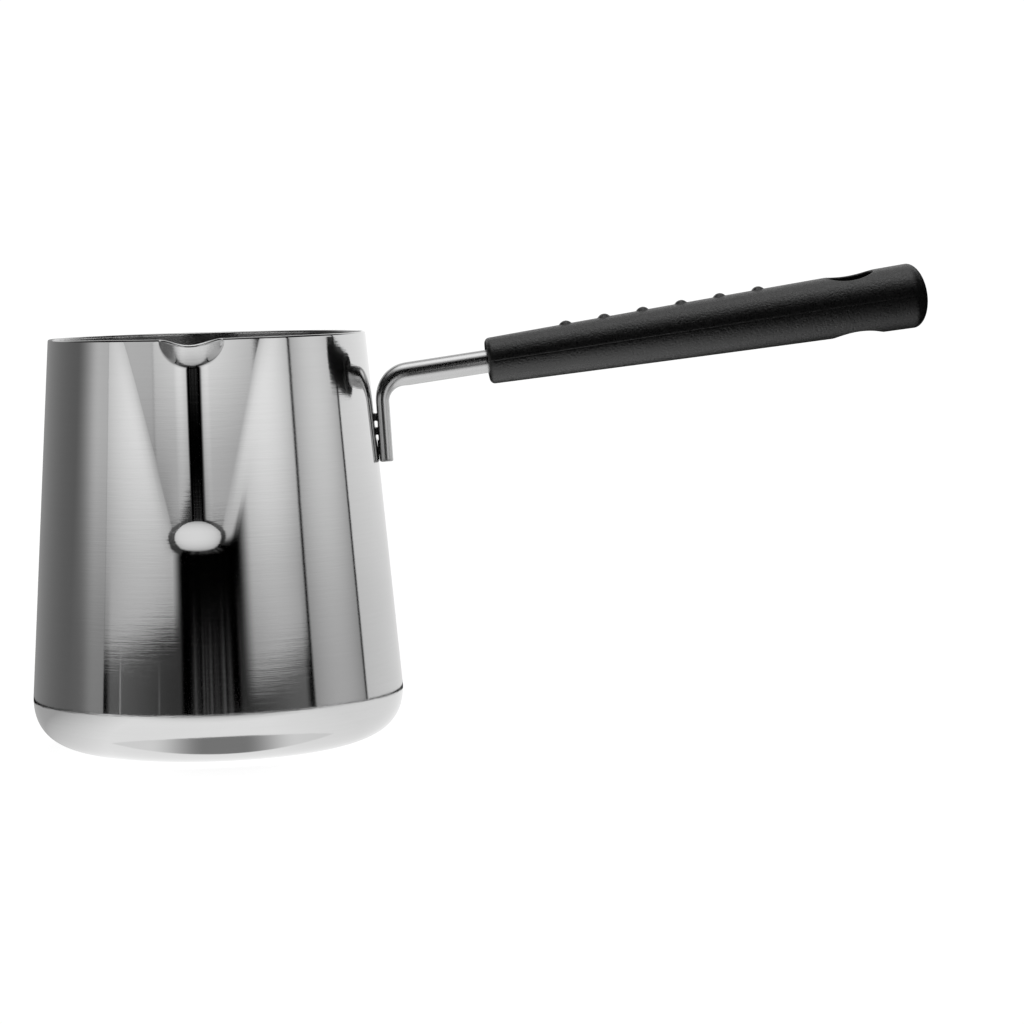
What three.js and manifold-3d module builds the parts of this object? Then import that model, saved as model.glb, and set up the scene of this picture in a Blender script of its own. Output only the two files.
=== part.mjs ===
// Candle melting pot: a drawn steel cup with a pressed pouring spout, and a bent
// steel tube, flattened and spot-welded to the wall, that carries a plastic grip.
// Millimetres, +Z up. The origin is the centre of the cup's flat base, and the
// handle points along +X.
import * as THREE from 'three';
import { mergeVertices } from 'three/addons/utils/BufferGeometryUtils.js';
import Module from 'manifold-3d';

// Cup
const CUP_HEIGHT = 87.5;
const RIM_RADIUS = 33.7;
const FOOT_RADIUS = 40.45; // where the sloping wall's line would meet the table
const FLAT_RADIUS = 25.5; // edge of the flat part of the base
const CORNER_HEIGHT = 12; // where the wall starts to turn into the base
const CORNER_FULLNESS = 0.65;
const SHEET = 0.8;

// Pouring spout, a V-shaped ridge pressed out of the wall
const SPOUT_AZIMUTH = -93 * THREE.MathUtils.DEG2RAD; // from the handle
const RIDGE_HALF_WIDTH = 14.6; // at the rim
const RIDGE_TAPER = 0.215; // half width lost for each millimetre down
const RIDGE_FOOT = 43.6; // height where the ridge dies out
const RIDGE_FULL = 51.3; // height above which its nose is fully pressed
const FOOT_ARCH = 0.08; // drop of that height per square millimetre off the nose
const FOOT_ARCH_WIDTH = 6;
const NOSE_RADIUS = 7;
const NOSE_ANGLE = 30.5 * THREE.MathUtils.DEG2RAD; // where the nose meets the flanks
const FLANK_CURVE = 0.012; // slope gained for each millimetre outward
const LIP_HALF_WIDTH = 6;
const LIP_DEPTH = 5.7;
const LIP_FLARE = 2;
const LIP_SIDES = 0.4; // the smaller, the more squarely the flare ends at its sides
const LIP_RISE = 1.3; // 1 is a straight flare, more bends it outward near the rim
const LIP_DIP = 1.25;
const LIP_DIP_DEPTH = 8;

// Grip
const GRIP_FRONT = new THREE.Vector3(59.7, 0, 80.24);
const GRIP_TILT = 7.2 * THREE.MathUtils.DEG2RAD;
const GRIP_LENGTH = 96.2;
const GRIP_BODY_LENGTH = 92.5; // to the edge of the domed end
const GRIP_FRONT_HALF = 4.95;
const GRIP_END_HALF = 7;
const GRIP_CROWN = 0.07;
const GRIP_WIDTH_RATIO = 1.12;
const GRIP_FRONT_FILLET = 1.1;
const BUMP_COUNT = 6;
const FIRST_BUMP = 17.8;
const BUMP_PITCH = 8.44;
const BUMP_RADIUS = 1.35;
const BUMP_HEIGHT = 0.7;
const HOLE_CENTRE = 80.2;
const HOLE_LENGTH = 10;
const HOLE_WIDTH = 6.6;
const HOLE_LEAN = 0.9; // how far its upper mouth lies to the front of the lower one

// Handle tube
const TUBE_RADIUS = 2.5;
const TUBE_WALL = 0.9;
const TONGUE_FOOT = new THREE.Vector2(37.49, 59.45);
const TONGUE_LEAN = 2.3 * THREE.MathUtils.DEG2RAD;
const TONGUE_THICKNESS = 2.9;
const BEND_RADIUS = 5.6;
const ROUNDING_RUN = 1; // the tube is fully round this far past the bend
const TUBE_IN_GRIP = 40;
const SOCKET_CLEARANCE = 0.3;

// Spot welds between the wall and the tongue: height of the centre and half height
const WELDS = {
  weld_spot_upper: { height: 69, half: 0.95 },
  weld_spot_middle: { height: 65.9, half: 0.95 },
  weld_spot_lower: { height: 62, half: 2.4 },
};
const WELD_RADIUS = 0.95;
const WELD_CLEARANCE = 0.05;

const CUP_STEEL = { color: 0xc9c9c8, roughness: 0.12, metalness: 1 };
const TUBE_STEEL = { color: 0xc4c4c2, roughness: 0.25, metalness: 1 };
const WELD_STEEL = { color: 0x6b6661, roughness: 0.6, metalness: 0.9 };
const GRIP_PLASTIC = { color: 0x121212, roughness: 0.62, metalness: 0 };

const wasm = await Module();
wasm.setup();

function smoothstep(from, to, value) {
  return THREE.MathUtils.smoothstep(value, from, to);
}

function makeMesh(name, geometry, finish) {
  const mesh = new THREE.Mesh(geometry, new THREE.MeshStandardMaterial(finish));
  mesh.name = name;
  return mesh;
}

// Keeps only positions, joins shared vertices and drops triangles without area.
function weldVertices(geometry) {
  const bare = geometry.clone();
  bare.deleteAttribute('normal');
  bare.deleteAttribute('uv');
  const tolerance = 1e-4;
  const merged = mergeVertices(bare, tolerance);
  const corners = merged.index.array;
  const kept = [];
  for (let i = 0; i < corners.length; i += 3) {
    const [a, b, c] = corners.subarray(i, i + 3);
    if (a !== b && b !== c && c !== a) {
      kept.push(a, b, c);
    }
  }
  merged.setIndex(kept);
  return merged;
}

function toSolid(geometry) {
  const merged = weldVertices(geometry);
  return new wasm.Manifold(new wasm.Mesh({
    numProp: 3,
    vertProperties: merged.attributes.position.array,
    triVerts: new Uint32Array(merged.index.array),
  }));
}

function toGeometry(solid) {
  const mesh = solid.getMesh();
  const geometry = new THREE.BufferGeometry();
  geometry.setAttribute('position', new THREE.BufferAttribute(mesh.vertProperties, 3));
  geometry.setIndex(new THREE.BufferAttribute(mesh.triVerts, 1));
  geometry.computeVertexNormals();
  return geometry;
}

// ---- Cup -------------------------------------------------------------------

function wallRadius(z) {
  return THREE.MathUtils.lerp(FOOT_RADIUS, RIM_RADIUS, z / CUP_HEIGHT);
}

// The bottom corner, from the edge of the flat base up to the straight wall.
function cornerCurve() {
  const flat = new THREE.Vector2(FLAT_RADIUS, 0);
  const foot = new THREE.Vector2(FOOT_RADIUS, 0);
  const wall = new THREE.Vector2(wallRadius(CORNER_HEIGHT), CORNER_HEIGHT);
  return new THREE.CubicBezierCurve(
    flat,
    flat.clone().lerp(foot, CORNER_FULLNESS),
    wall.clone().lerp(foot, CORNER_FULLNESS),
    wall,
  );
}

function wallHeights() {
  const heights = [(CORNER_HEIGHT + RIDGE_FOOT) / 2];
  const footSteps = 5;
  for (let i = 0; i <= footSteps; i += 1) {
    heights.push(THREE.MathUtils.lerp(RIDGE_FOOT, RIDGE_FULL, i / footSteps));
  }
  const flankSteps = 4;
  const lipStart = CUP_HEIGHT - LIP_DIP_DEPTH;
  for (let i = 1; i <= flankSteps; i += 1) {
    heights.push(THREE.MathUtils.lerp(RIDGE_FULL, lipStart, i / flankSteps));
  }
  const lipSteps = 6;
  for (let i = 1; i <= lipSteps; i += 1) {
    heights.push(THREE.MathUtils.lerp(lipStart, CUP_HEIGHT, i / lipSteps));
  }
  return heights;
}

// Closed outline of the sheet: up the outside, over the rim and down the inside.
function cupOutline() {
  const cornerSteps = 7;
  const corner = cornerCurve();
  const outside = [new THREE.Vector2(0, 0)];
  const inside = [new THREE.Vector2(0, SHEET)];
  for (let i = 0; i <= cornerSteps; i += 1) {
    const point = corner.getPoint(i / cornerSteps);
    const along = corner.getTangent(i / cornerSteps);
    outside.push(point);
    inside.push(new THREE.Vector2(point.x - SHEET * along.y, point.y + SHEET * along.x));
  }
  for (const z of wallHeights()) {
    outside.push(new THREE.Vector2(wallRadius(z), z));
    inside.push(new THREE.Vector2(wallRadius(z) - SHEET, z));
  }
  return outside.concat(inside.reverse());
}

function ridgeHalfAngle(z) {
  const height = Math.max(z, RIDGE_FOOT);
  const halfWidth = RIDGE_HALF_WIDTH - RIDGE_TAPER * (CUP_HEIGHT - height);
  return Math.asin(halfWidth / wallRadius(height));
}

// How far the ridge falls back from its nose at a sideways distance from it: a round
// nose, then a slightly curved flank.
function ridgeFall(sideways) {
  const noseEnd = NOSE_RADIUS * Math.sin(NOSE_ANGLE);
  const away = Math.abs(sideways);
  if (away <= noseEnd) {
    return NOSE_RADIUS - Math.sqrt(NOSE_RADIUS ** 2 - away ** 2);
  }
  const run = away - noseEnd;
  const noseFall = NOSE_RADIUS * (1 - Math.cos(NOSE_ANGLE));
  return noseFall + Math.tan(NOSE_ANGLE) * run + (FLANK_CURVE / 2) * run ** 2;
}

// How far the wall is pressed out at an angle from the spout's centre plane. The
// ridge meets the wall at its half angle, which sets how far out its nose is.
function ridgePush(angle, z) {
  const radius = wallRadius(z);
  const half = ridgeHalfAngle(z);
  if (z <= RIDGE_FOOT || Math.abs(angle) >= half) {
    return 0;
  }
  const nose = radius * Math.cos(half) + ridgeFall(radius * Math.sin(half));
  const passes = 12;
  let shape = radius;
  for (let i = 0; i < passes; i += 1) {
    shape = (nose - ridgeFall(shape * Math.sin(angle))) / Math.cos(angle);
  }
  const aside = Math.min(radius * Math.abs(Math.sin(angle)), FOOT_ARCH_WIDTH);
  const full = RIDGE_FULL - FOOT_ARCH * aside ** 2;
  return (shape - radius) * smoothstep(RIDGE_FOOT, full, z);
}

// Sideways distance from the middle of the lip, as a share of its half width.
function acrossLip(angle, z) {
  const infront = Math.abs(angle) < Math.PI / 2;
  const across = (wallRadius(z) * Math.sin(angle)) / LIP_HALF_WIDTH;
  return infront ? Math.min(1, Math.abs(across)) : 1;
}

// The pouring lip: the rim flares out over the nose in a shallow dish.
function lipFlare(angle, z) {
  const share = 1 - acrossLip(angle, z) ** 2;
  const start = CUP_HEIGHT - LIP_DEPTH * Math.sqrt(share);
  if (share === 0 || z <= start) {
    return 0;
  }
  return LIP_FLARE * share ** LIP_SIDES * ((z - start) / (CUP_HEIGHT - start)) ** LIP_RISE;
}

// How far the rim dips over the lip.
function lipDrop(angle, z) {
  const share = Math.cos((acrossLip(angle, z) * Math.PI) / 2) ** 2;
  const up = Math.max(0, (z - CUP_HEIGHT + LIP_DIP_DEPTH) / LIP_DIP_DEPTH);
  return LIP_DIP * share * up ** 2;
}

// A third of the columns lie inside the ridge and follow its creases.
function columnAngle(turn, z) {
  const ridgeShare = Math.PI / 3;
  const half = ridgeHalfAngle(z);
  const size = Math.abs(turn);
  if (size <= ridgeShare) {
    return turn * half / ridgeShare;
  }
  const rest = half + (size - ridgeShare) * (Math.PI - half) / (Math.PI - ridgeShare);
  return Math.sign(turn) * rest;
}

function makeCup() {
  const columns = 72;
  const onAxis = 1e-6;
  const geometry = new THREE.LatheGeometry(cupOutline(), columns);
  geometry.rotateX(Math.PI / 2);
  const position = geometry.attributes.position;
  for (let i = 0; i < position.count; i += 1) {
    const z = position.getZ(i);
    const radius = Math.hypot(position.getX(i), position.getY(i));
    const turn = Math.atan2(position.getX(i), -position.getY(i));
    const angle = columnAngle(turn, z);
    const pushed = radius < onAxis ? 0 : radius + ridgePush(angle, z) + lipFlare(angle, z);
    const azimuth = SPOUT_AZIMUTH + angle;
    position.setXYZ(i, pushed * Math.cos(azimuth), pushed * Math.sin(azimuth), z - lipDrop(angle, z));
  }
  return makeMesh('pot_body', weldVertices(geometry), CUP_STEEL);
}

// ---- Handle tube -----------------------------------------------------------

// The tube's centre line lies in the XZ plane: up the tongue, round the bend and
// along the grip's axis. Stations are lengths from the tongue's foot.
function makeCentreLine() {
  const startAngle = Math.PI / 2 + TONGUE_LEAN;
  const up = new THREE.Vector2(Math.cos(startAngle), Math.sin(startAngle));
  const out = new THREE.Vector2(Math.cos(GRIP_TILT), Math.sin(GRIP_TILT));
  const front = new THREE.Vector2(GRIP_FRONT.x, GRIP_FRONT.z);
  const gap = front.clone().sub(TONGUE_FOOT);
  const toCorner = gap.cross(out) / up.cross(out);
  const tangent = BEND_RADIUS * Math.tan((startAngle - GRIP_TILT) / 2);
  const bendStart = toCorner - tangent;
  const bendEnd = bendStart + BEND_RADIUS * (startAngle - GRIP_TILT);
  const corner = TONGUE_FOOT.clone().addScaledVector(up, toCorner);
  const leave = corner.clone().addScaledVector(out, tangent);
  const frontStation = bendEnd + front.distanceTo(leave);
  const begin = corner.clone().addScaledVector(up, -tangent);
  const centre = begin.clone().add(new THREE.Vector2(up.y, -up.x).multiplyScalar(BEND_RADIUS));

  function at(station) {
    if (station <= bendStart) {
      return { point: TONGUE_FOOT.clone().addScaledVector(up, station), angle: startAngle };
    }
    if (station >= bendEnd) {
      return { point: leave.clone().addScaledVector(out, station - bendEnd), angle: GRIP_TILT };
    }
    const angle = startAngle - (station - bendStart) / BEND_RADIUS;
    const outward = new THREE.Vector2(-Math.sin(angle), Math.cos(angle));
    return { point: centre.clone().addScaledVector(outward, BEND_RADIUS), angle };
  }
  return { at, bendStart, bendEnd, length: frontStation + TUBE_IN_GRIP };
}

function tubeStations(line) {
  const stations = [0, line.bendStart / 2];
  const bendSteps = 12;
  const bendLength = line.bendEnd + ROUNDING_RUN - line.bendStart;
  for (let i = 0; i <= bendSteps; i += 1) {
    stations.push(line.bendStart + (bendLength * i) / bendSteps);
  }
  stations.push(line.length);
  return stations;
}

function makeHandleTube() {
  const sides = 24;
  const flatSpread = 3; // how quickly the widening moves to the tongue's two edges
  const line = makeCentreLine();
  const stations = tubeStations(line);
  const bore = TUBE_RADIUS - TUBE_WALL;
  const outline = stations.map((s) => new THREE.Vector2(bore, s));
  outline.push(...stations.reverse().map((s) => new THREE.Vector2(TUBE_RADIUS, s)));
  outline.push(outline[0].clone());
  const geometry = new THREE.LatheGeometry(outline, sides);
  const position = geometry.attributes.position;
  for (let i = 0; i < position.count; i += 1) {
    const station = position.getY(i);
    const radius = Math.hypot(position.getX(i), position.getZ(i));
    const round = smoothstep(line.bendStart, line.bendEnd + ROUNDING_RUN, station);
    const halfThickness = THREE.MathUtils.lerp(TONGUE_THICKNESS / 2, TUBE_RADIUS, round);
    const halfFlat = (TUBE_RADIUS - halfThickness) * Math.PI / 2;
    const skin = halfThickness - (TUBE_RADIUS - radius);
    const side = position.getX(i) / radius;
    const rise = (position.getZ(i) / radius) * skin;
    const across = side * skin + halfFlat * THREE.MathUtils.clamp(flatSpread * side, -1, 1);
    const { point, angle } = line.at(station);
    position.setXYZ(i, point.x - rise * Math.sin(angle), across, point.y + rise * Math.cos(angle));
  }
  return makeMesh('handle_tube', weldVertices(geometry), TUBE_STEEL);
}

// ---- Spot welds ------------------------------------------------------------

function makeWeldSpot(name, height, half) {
  const wall = wallRadius(height);
  const rise = height - TONGUE_FOOT.y;
  const tongueFace = TONGUE_FOOT.x - rise * Math.tan(TONGUE_LEAN) - TONGUE_THICKNESS / 2;
  const reach = (tongueFace - wall) / 2 - WELD_CLEARANCE;
  const geometry = new THREE.SphereGeometry(1, 16, 10);
  geometry.scale(reach, WELD_RADIUS, half);
  const mesh = makeMesh(name, weldVertices(geometry), WELD_STEEL);
  mesh.position.set((wall + tongueFace) / 2, 0, height);
  return mesh;
}

// ---- Grip ------------------------------------------------------------------

function gripHalfHeight(u) {
  const share = u / GRIP_BODY_LENGTH;
  const crown = 4 * GRIP_CROWN * share * (1 - share);
  return THREE.MathUtils.lerp(GRIP_FRONT_HALF, GRIP_END_HALF, share) + crown;
}

// Half outline of the grip, from the middle of its front face to the tip of its
// domed end, as distance from the axis against length along it.
function gripOutline() {
  const outline = [new THREE.Vector2(0, 0)];
  const filletSteps = 4;
  const frontHalf = gripHalfHeight(GRIP_FRONT_FILLET);
  for (let i = 0; i <= filletSteps; i += 1) {
    const turn = (Math.PI / 2) * (i / filletSteps);
    outline.push(new THREE.Vector2(
      frontHalf - GRIP_FRONT_FILLET * (1 - Math.sin(turn)),
      GRIP_FRONT_FILLET * (1 - Math.cos(turn)),
    ));
  }
  const bodySteps = 9;
  for (let i = 1; i <= bodySteps; i += 1) {
    const u = THREE.MathUtils.lerp(GRIP_FRONT_FILLET, GRIP_BODY_LENGTH, i / bodySteps);
    outline.push(new THREE.Vector2(gripHalfHeight(u), u));
  }
  const domeSteps = 7;
  const domeDepth = GRIP_LENGTH - GRIP_BODY_LENGTH;
  for (let i = 1; i <= domeSteps; i += 1) {
    const turn = (Math.PI / 2) * (i / domeSteps);
    outline.push(new THREE.Vector2(
      i === domeSteps ? 0 : GRIP_END_HALF * Math.cos(turn),
      GRIP_BODY_LENGTH + domeDepth * Math.sin(turn),
    ));
  }
  return outline;
}

function makeGripBlank() {
  const geometry = new THREE.LatheGeometry(gripOutline(), 32);
  geometry.rotateZ(-Math.PI / 2);
  geometry.scale(1, 1, GRIP_WIDTH_RATIO);
  geometry.rotateX(Math.PI / 2);
  return toSolid(geometry);
}

function makeSocket() {
  const radius = TUBE_RADIUS + SOCKET_CLEARANCE;
  const depth = TUBE_IN_GRIP + SOCKET_CLEARANCE;
  const margin = 2; // the cutter starts this far in front of the grip
  const geometry = new THREE.CylinderGeometry(radius, radius, depth + margin, 24);
  geometry.rotateZ(-Math.PI / 2);
  geometry.translate((depth - margin) / 2, 0, 0);
  return toSolid(geometry);
}

function makeHangingHole() {
  const bore = 2 * gripHalfHeight(HOLE_CENTRE);
  const geometry = new THREE.CylinderGeometry(1, 1, 2 * bore, 32);
  geometry.rotateX(Math.PI / 2);
  geometry.scale(HOLE_LENGTH / 2, HOLE_WIDTH / 2, 1);
  geometry.rotateX(Math.atan(HOLE_LEAN / bore));
  geometry.translate(HOLE_CENTRE, -HOLE_LEAN / 2, 0);
  return toSolid(geometry);
}

function makeBump(u) {
  const ball = (BUMP_RADIUS ** 2 + BUMP_HEIGHT ** 2) / (2 * BUMP_HEIGHT);
  const geometry = new THREE.SphereGeometry(ball, 16, 10);
  geometry.rotateX(Math.PI / 2);
  geometry.translate(u, 0, gripHalfHeight(u) + BUMP_HEIGHT - ball);
  return toSolid(geometry);
}

function makeGrip() {
  let solid = makeGripBlank();
  for (let i = 0; i < BUMP_COUNT; i += 1) {
    solid = solid.add(makeBump(FIRST_BUMP + i * BUMP_PITCH));
  }
  solid = solid.subtract(makeSocket()).subtract(makeHangingHole());
  const mesh = makeMesh('grip', toGeometry(solid), GRIP_PLASTIC);
  mesh.position.copy(GRIP_FRONT);
  mesh.rotation.y = -GRIP_TILT;
  return mesh;
}

const pot = new THREE.Group();
pot.name = 'candle_melting_pot';
pot.add(makeCup());
pot.add(makeHandleTube());
for (const [name, weld] of Object.entries(WELDS)) {
  pot.add(makeWeldSpot(name, weld.height, weld.half));
}
pot.add(makeGrip());

export default pot;
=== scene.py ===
import math
from collections import namedtuple

import bpy
import numpy as np
from mathutils import Matrix, Vector


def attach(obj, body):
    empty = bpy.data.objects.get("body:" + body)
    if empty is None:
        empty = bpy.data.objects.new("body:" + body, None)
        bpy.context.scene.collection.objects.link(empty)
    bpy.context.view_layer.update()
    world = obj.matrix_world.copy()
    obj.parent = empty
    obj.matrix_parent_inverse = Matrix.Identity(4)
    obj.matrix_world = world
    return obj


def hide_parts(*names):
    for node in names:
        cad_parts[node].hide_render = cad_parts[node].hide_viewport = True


# A candle melting pot: a drawn steel cup with a pressed spout, a bent steel tube
# spot-welded to its wall, and a moulded grip. Lengths below are millimetres in the
# part's own frame: the cup stands on z = 0 round the z axis, the handle is along +X.

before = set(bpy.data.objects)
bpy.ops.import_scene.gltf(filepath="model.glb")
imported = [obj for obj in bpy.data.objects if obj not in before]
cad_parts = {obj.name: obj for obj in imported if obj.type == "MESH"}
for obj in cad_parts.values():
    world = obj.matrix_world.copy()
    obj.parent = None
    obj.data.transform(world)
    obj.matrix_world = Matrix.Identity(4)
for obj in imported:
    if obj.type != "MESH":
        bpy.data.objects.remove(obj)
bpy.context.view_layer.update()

MM = 0.001

# Cup
CUP_HEIGHT = 87.5
RIM_RADIUS = 33.7
FOOT_RADIUS = 40.45
FLAT_RADIUS = 25.5
CORNER_HEIGHT = 12.0
CORNER_FULLNESS = 0.65
SHEET = 0.8

# Pouring spout
SPOUT_AZIMUTH = math.radians(-93)
RIDGE_HALF_WIDTH = 14.6
RIDGE_TAPER = 0.215
RIDGE_FOOT = 43.6
RIDGE_FULL = 51.3
RIDGE_REACH = math.radians(45)
NOSE_RADIUS = 7.0
NOSE_ANGLE = math.radians(30.5)
FLANK_CURVE = 0.012
FOOT_ARCH = 0.08
FOOT_ARCH_WIDTH = 6.0
CREASE_BLEND = 1.6
# Passes in which the ridge's distance from the axis settles.
RIDGE_PASSES = 24
LIP_HALF_WIDTH = 6.0
LIP_DEPTH = 5.7
LIP_FLARE = 2.0
# Powers of the lip's flare: across it, where a low one makes its sides steep, and
# up it, where one above 1 makes it curl outward.
LIP_SIDES = 0.4
LIP_RISE = 1.3
LIP_DIP = 1.25
LIP_DIP_DEPTH = 8.0

# Grip
GRIP_FRONT = np.array((59.7, 0.0, 80.24))
GRIP_TILT = math.radians(7.2)
GRIP_LENGTH = 96.2
GRIP_BODY_LENGTH = 92.5
GRIP_FRONT_HALF = 4.95
GRIP_END_HALF = 7.0
GRIP_CROWN = 0.07
GRIP_WIDTH_RATIO = 1.12
GRIP_FRONT_FILLET = 1.1
SOCKET_FILLET = 0.35
BUMP_COUNT = 6
FIRST_BUMP = 17.8
BUMP_PITCH = 8.44
BUMP_RADIUS = 1.35
BUMP_HEIGHT = 0.7
HOLE_CENTRE = 80.2
HOLE_LENGTH = 10.0
HOLE_WIDTH = 6.6
HOLE_FILLET = 0.7
HOLE_LEAN = 0.9
# The part of the grip's mesh that is left out and built again round the hole: its
# length, and its columns on each side of the middle.
HOLE_BLOCK_LENGTH = 15.0
HOLE_BLOCK_COLUMNS = 27
PARTING_DEPTH = 0.06
PARTING_WIDTH = 0.3

# Handle tube
TUBE_RADIUS = 2.5
TUBE_WALL = 0.9
TONGUE_FOOT = np.array((37.49, 59.45))
TONGUE_LEAN = math.radians(2.3)
TONGUE_THICKNESS = 2.9
# The tongue's two flats take the points of each ring whose sine is under 1 / FLAT_SPREAD.
FLAT_SPREAD = 3
BEND_RADIUS = 5.6
# The tube is fully round this far beyond its bend.
ROUNDING_RUN = 1.0
TUBE_IN_GRIP = 40.0
SOCKET_CLEARANCE = 0.3
CUT_EDGE = 0.2
# Rows of the grip with a half height above this are on its outside, not in its socket.
OUTSIDE_HALF = TUBE_RADIUS + 1

# Spot welds, each with its height above the base and half its own height
WELDS = {"upper": (69.0, 0.95), "middle": (65.9, 0.95), "lower": (62.0, 2.4)}
WELD_RADIUS = 0.95
WELD_WAIST = 0.8
WELD_OVERLAP = 0.02
WELD_LUMPS = (0.07, 0.05)


def smoothstep(low, high, value):
    share = np.clip((value - low) / (high - low), 0, 1)
    return share * share * (3 - 2 * share)


def lerp(a, b, share):
    return a + (b - a) * share


# ---- Mesh helpers ------------------------------------------------------------

def make_piece(name, points, faces, node, attributes=None):
    """A smooth mesh object from points in millimetres, standing for a CAD node."""
    used = sorted({corner for face in faces for corner in face})
    place = {corner: i for i, corner in enumerate(used)}
    kept = [[place[corner] for corner in face] for face in faces]
    mesh = bpy.data.meshes.new(name)
    mesh.from_pydata((np.asarray(points)[used] * MM).tolist(), [], kept)
    mesh.update()
    mesh.shade_smooth()
    for key, values in (attributes or {}).items():
        attribute = mesh.attributes.new(key, "FLOAT", "POINT")
        attribute.data.foreach_set("value", np.asarray(values, np.float32)[used])
    piece = bpy.data.objects.new(name, mesh)
    bpy.context.scene.collection.objects.link(piece)
    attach(piece, "root")
    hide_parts(node)
    return piece


def ring_faces(row_count, columns, first=0, close_rows=False):
    """Quads between rows of points that each run round a closed ring."""
    faces = []
    last = row_count if close_rows else row_count - 1
    for i in range(last):
        here = first + i * columns
        above = first + ((i + 1) % row_count) * columns
        for j in range(columns):
            k = (j + 1) % columns
            faces.append((here + j, here + k, above + k, above + j))
    return faces


def fan_faces(pole, ring, columns, upward):
    """Triangles between one point and a closed ring that starts at index ring."""
    faces = []
    for j in range(columns):
        k = (j + 1) % columns
        corner = (ring + j, ring + k) if upward else (ring + k, ring + j)
        faces.append((pole, *corner))
    return faces


# ---- Cup ---------------------------------------------------------------------

def wall_radius(z):
    return lerp(FOOT_RADIUS, RIM_RADIUS, z / CUP_HEIGHT)


def corner_points(steps):
    """The bottom corner, from the edge of the flat base up to the straight wall."""
    flat = np.array((FLAT_RADIUS, 0.0))
    foot = np.array((FOOT_RADIUS, 0.0))
    wall = np.array((wall_radius(CORNER_HEIGHT), CORNER_HEIGHT))
    a = lerp(flat, foot, CORNER_FULLNESS)
    b = lerp(wall, foot, CORNER_FULLNESS)
    t = np.linspace(0, 1, steps + 1)[:, None]
    return flat * (1 - t) ** 3 + 3 * a * t * (1 - t) ** 2 + 3 * b * t * t * (1 - t) + wall * t ** 3


def ridge_half_angle(z):
    """Half the angle that the ridge takes up of the wall. It narrows downward."""
    height = np.maximum(z, RIDGE_FOOT)
    half_width = RIDGE_HALF_WIDTH - RIDGE_TAPER * (CUP_HEIGHT - height)
    return np.arcsin(half_width / wall_radius(height))


def ridge_fall(sideways):
    """How far the ridge falls back from its nose: a round nose, then curved flanks."""
    nose_end = NOSE_RADIUS * math.sin(NOSE_ANGLE)
    away = np.abs(sideways)
    nose = NOSE_RADIUS - np.sqrt(NOSE_RADIUS ** 2 - np.minimum(away, nose_end) ** 2)
    run = np.maximum(0, away - nose_end)
    return nose + math.tan(NOSE_ANGLE) * run + FLANK_CURVE / 2 * run ** 2


def ridge_push(angle, z):
    """How far the wall is pressed out by the ridge, which meets it in soft creases."""
    radius = wall_radius(z)
    half = ridge_half_angle(z)
    sideways = radius * np.sin(half)
    nose = radius * np.cos(half) + ridge_fall(sideways)
    near = np.clip(angle, -RIDGE_REACH, RIDGE_REACH)
    shape = radius + 0 * angle
    for _ in range(RIDGE_PASSES):
        shape = (shape + (nose - ridge_fall(shape * np.sin(near))) / np.cos(near)) / 2
    run = np.maximum(0, sideways - NOSE_RADIUS * math.sin(NOSE_ANGLE))
    flank = np.arctan(math.tan(NOSE_ANGLE) + FLANK_CURVE * run)
    blend = CREASE_BLEND * np.tan(flank - half)
    mixed = np.maximum(0, 1 - np.abs(shape - radius) / blend)
    pressed = np.maximum(shape, radius) + blend * mixed ** 2 / 4 - radius
    pressed = np.where(np.abs(angle) < RIDGE_REACH, pressed, 0)
    aside = np.minimum(np.abs(radius * np.sin(near)), FOOT_ARCH_WIDTH)
    return pressed * smoothstep(RIDGE_FOOT, RIDGE_FULL - FOOT_ARCH * aside ** 2, z)


def lip_share(angle, z):
    """Distance across from the middle of the lip, 1 at its sides."""
    across = wall_radius(z) * np.sin(angle) / LIP_HALF_WIDTH
    return np.where(np.abs(angle) < math.pi / 2, across, 2.0)


def lip_flare(angle, z):
    """How far the lip bends outward, from a round bottom edge up to the rim."""
    share = np.maximum(0, 1 - lip_share(angle, z) ** 2)
    start = CUP_HEIGHT - LIP_DEPTH * np.sqrt(share)
    up = np.maximum(0, z - start) / np.maximum(1e-6, CUP_HEIGHT - start)
    return LIP_FLARE * share ** LIP_SIDES * np.minimum(up, 1) ** LIP_RISE


def lip_drop(angle, z):
    """How far the rim and the wall just under it dip in the middle of the lip."""
    share = np.cos(np.clip(lip_share(angle, z), -1, 1) * math.pi / 2) ** 2
    up = np.maximum(0, z - CUP_HEIGHT + LIP_DIP_DEPTH) / LIP_DIP_DEPTH
    return LIP_DIP * share * up ** 2


def dulled_share(angle, z):
    """How much the press has dulled the polish of the lip."""
    return smoothstep(0, 0.6, lip_flare(angle, z))


def column_angles(columns, z):
    """A third of the columns lie inside the ridge and follow its creases."""
    turn = np.linspace(-math.pi, math.pi, columns, endpoint=False)[None, :]
    ridge_share = math.pi / 3
    half = ridge_half_angle(z)
    inside = turn * half / ridge_share
    rest = (np.abs(turn) - ridge_share) / (math.pi - ridge_share)
    outside = np.sign(turn) * (half + rest * (math.pi - half))
    return np.where(np.abs(turn) <= ridge_share, inside, outside)


def cup_outline():
    """Radius and height of each row of the outer face, from the base to the rim."""
    flat = np.linspace(0, FLAT_RADIUS, 15)[1:-1]
    base = np.stack((flat, np.zeros_like(flat)), 1)
    heights = np.concatenate((
        np.linspace(CORNER_HEIGHT, RIDGE_FOOT - 3, 10)[1:],
        np.linspace(RIDGE_FOOT - 3, RIDGE_FULL + 2, 40)[1:],
        np.linspace(RIDGE_FULL + 2, CUP_HEIGHT - LIP_DIP_DEPTH, 22)[1:],
        np.linspace(CUP_HEIGHT - LIP_DIP_DEPTH, CUP_HEIGHT - SHEET / 2, 30)[1:],
    ))
    wall = np.stack((wall_radius(heights), heights), 1)
    return np.concatenate((base, corner_points(30), wall))


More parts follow.
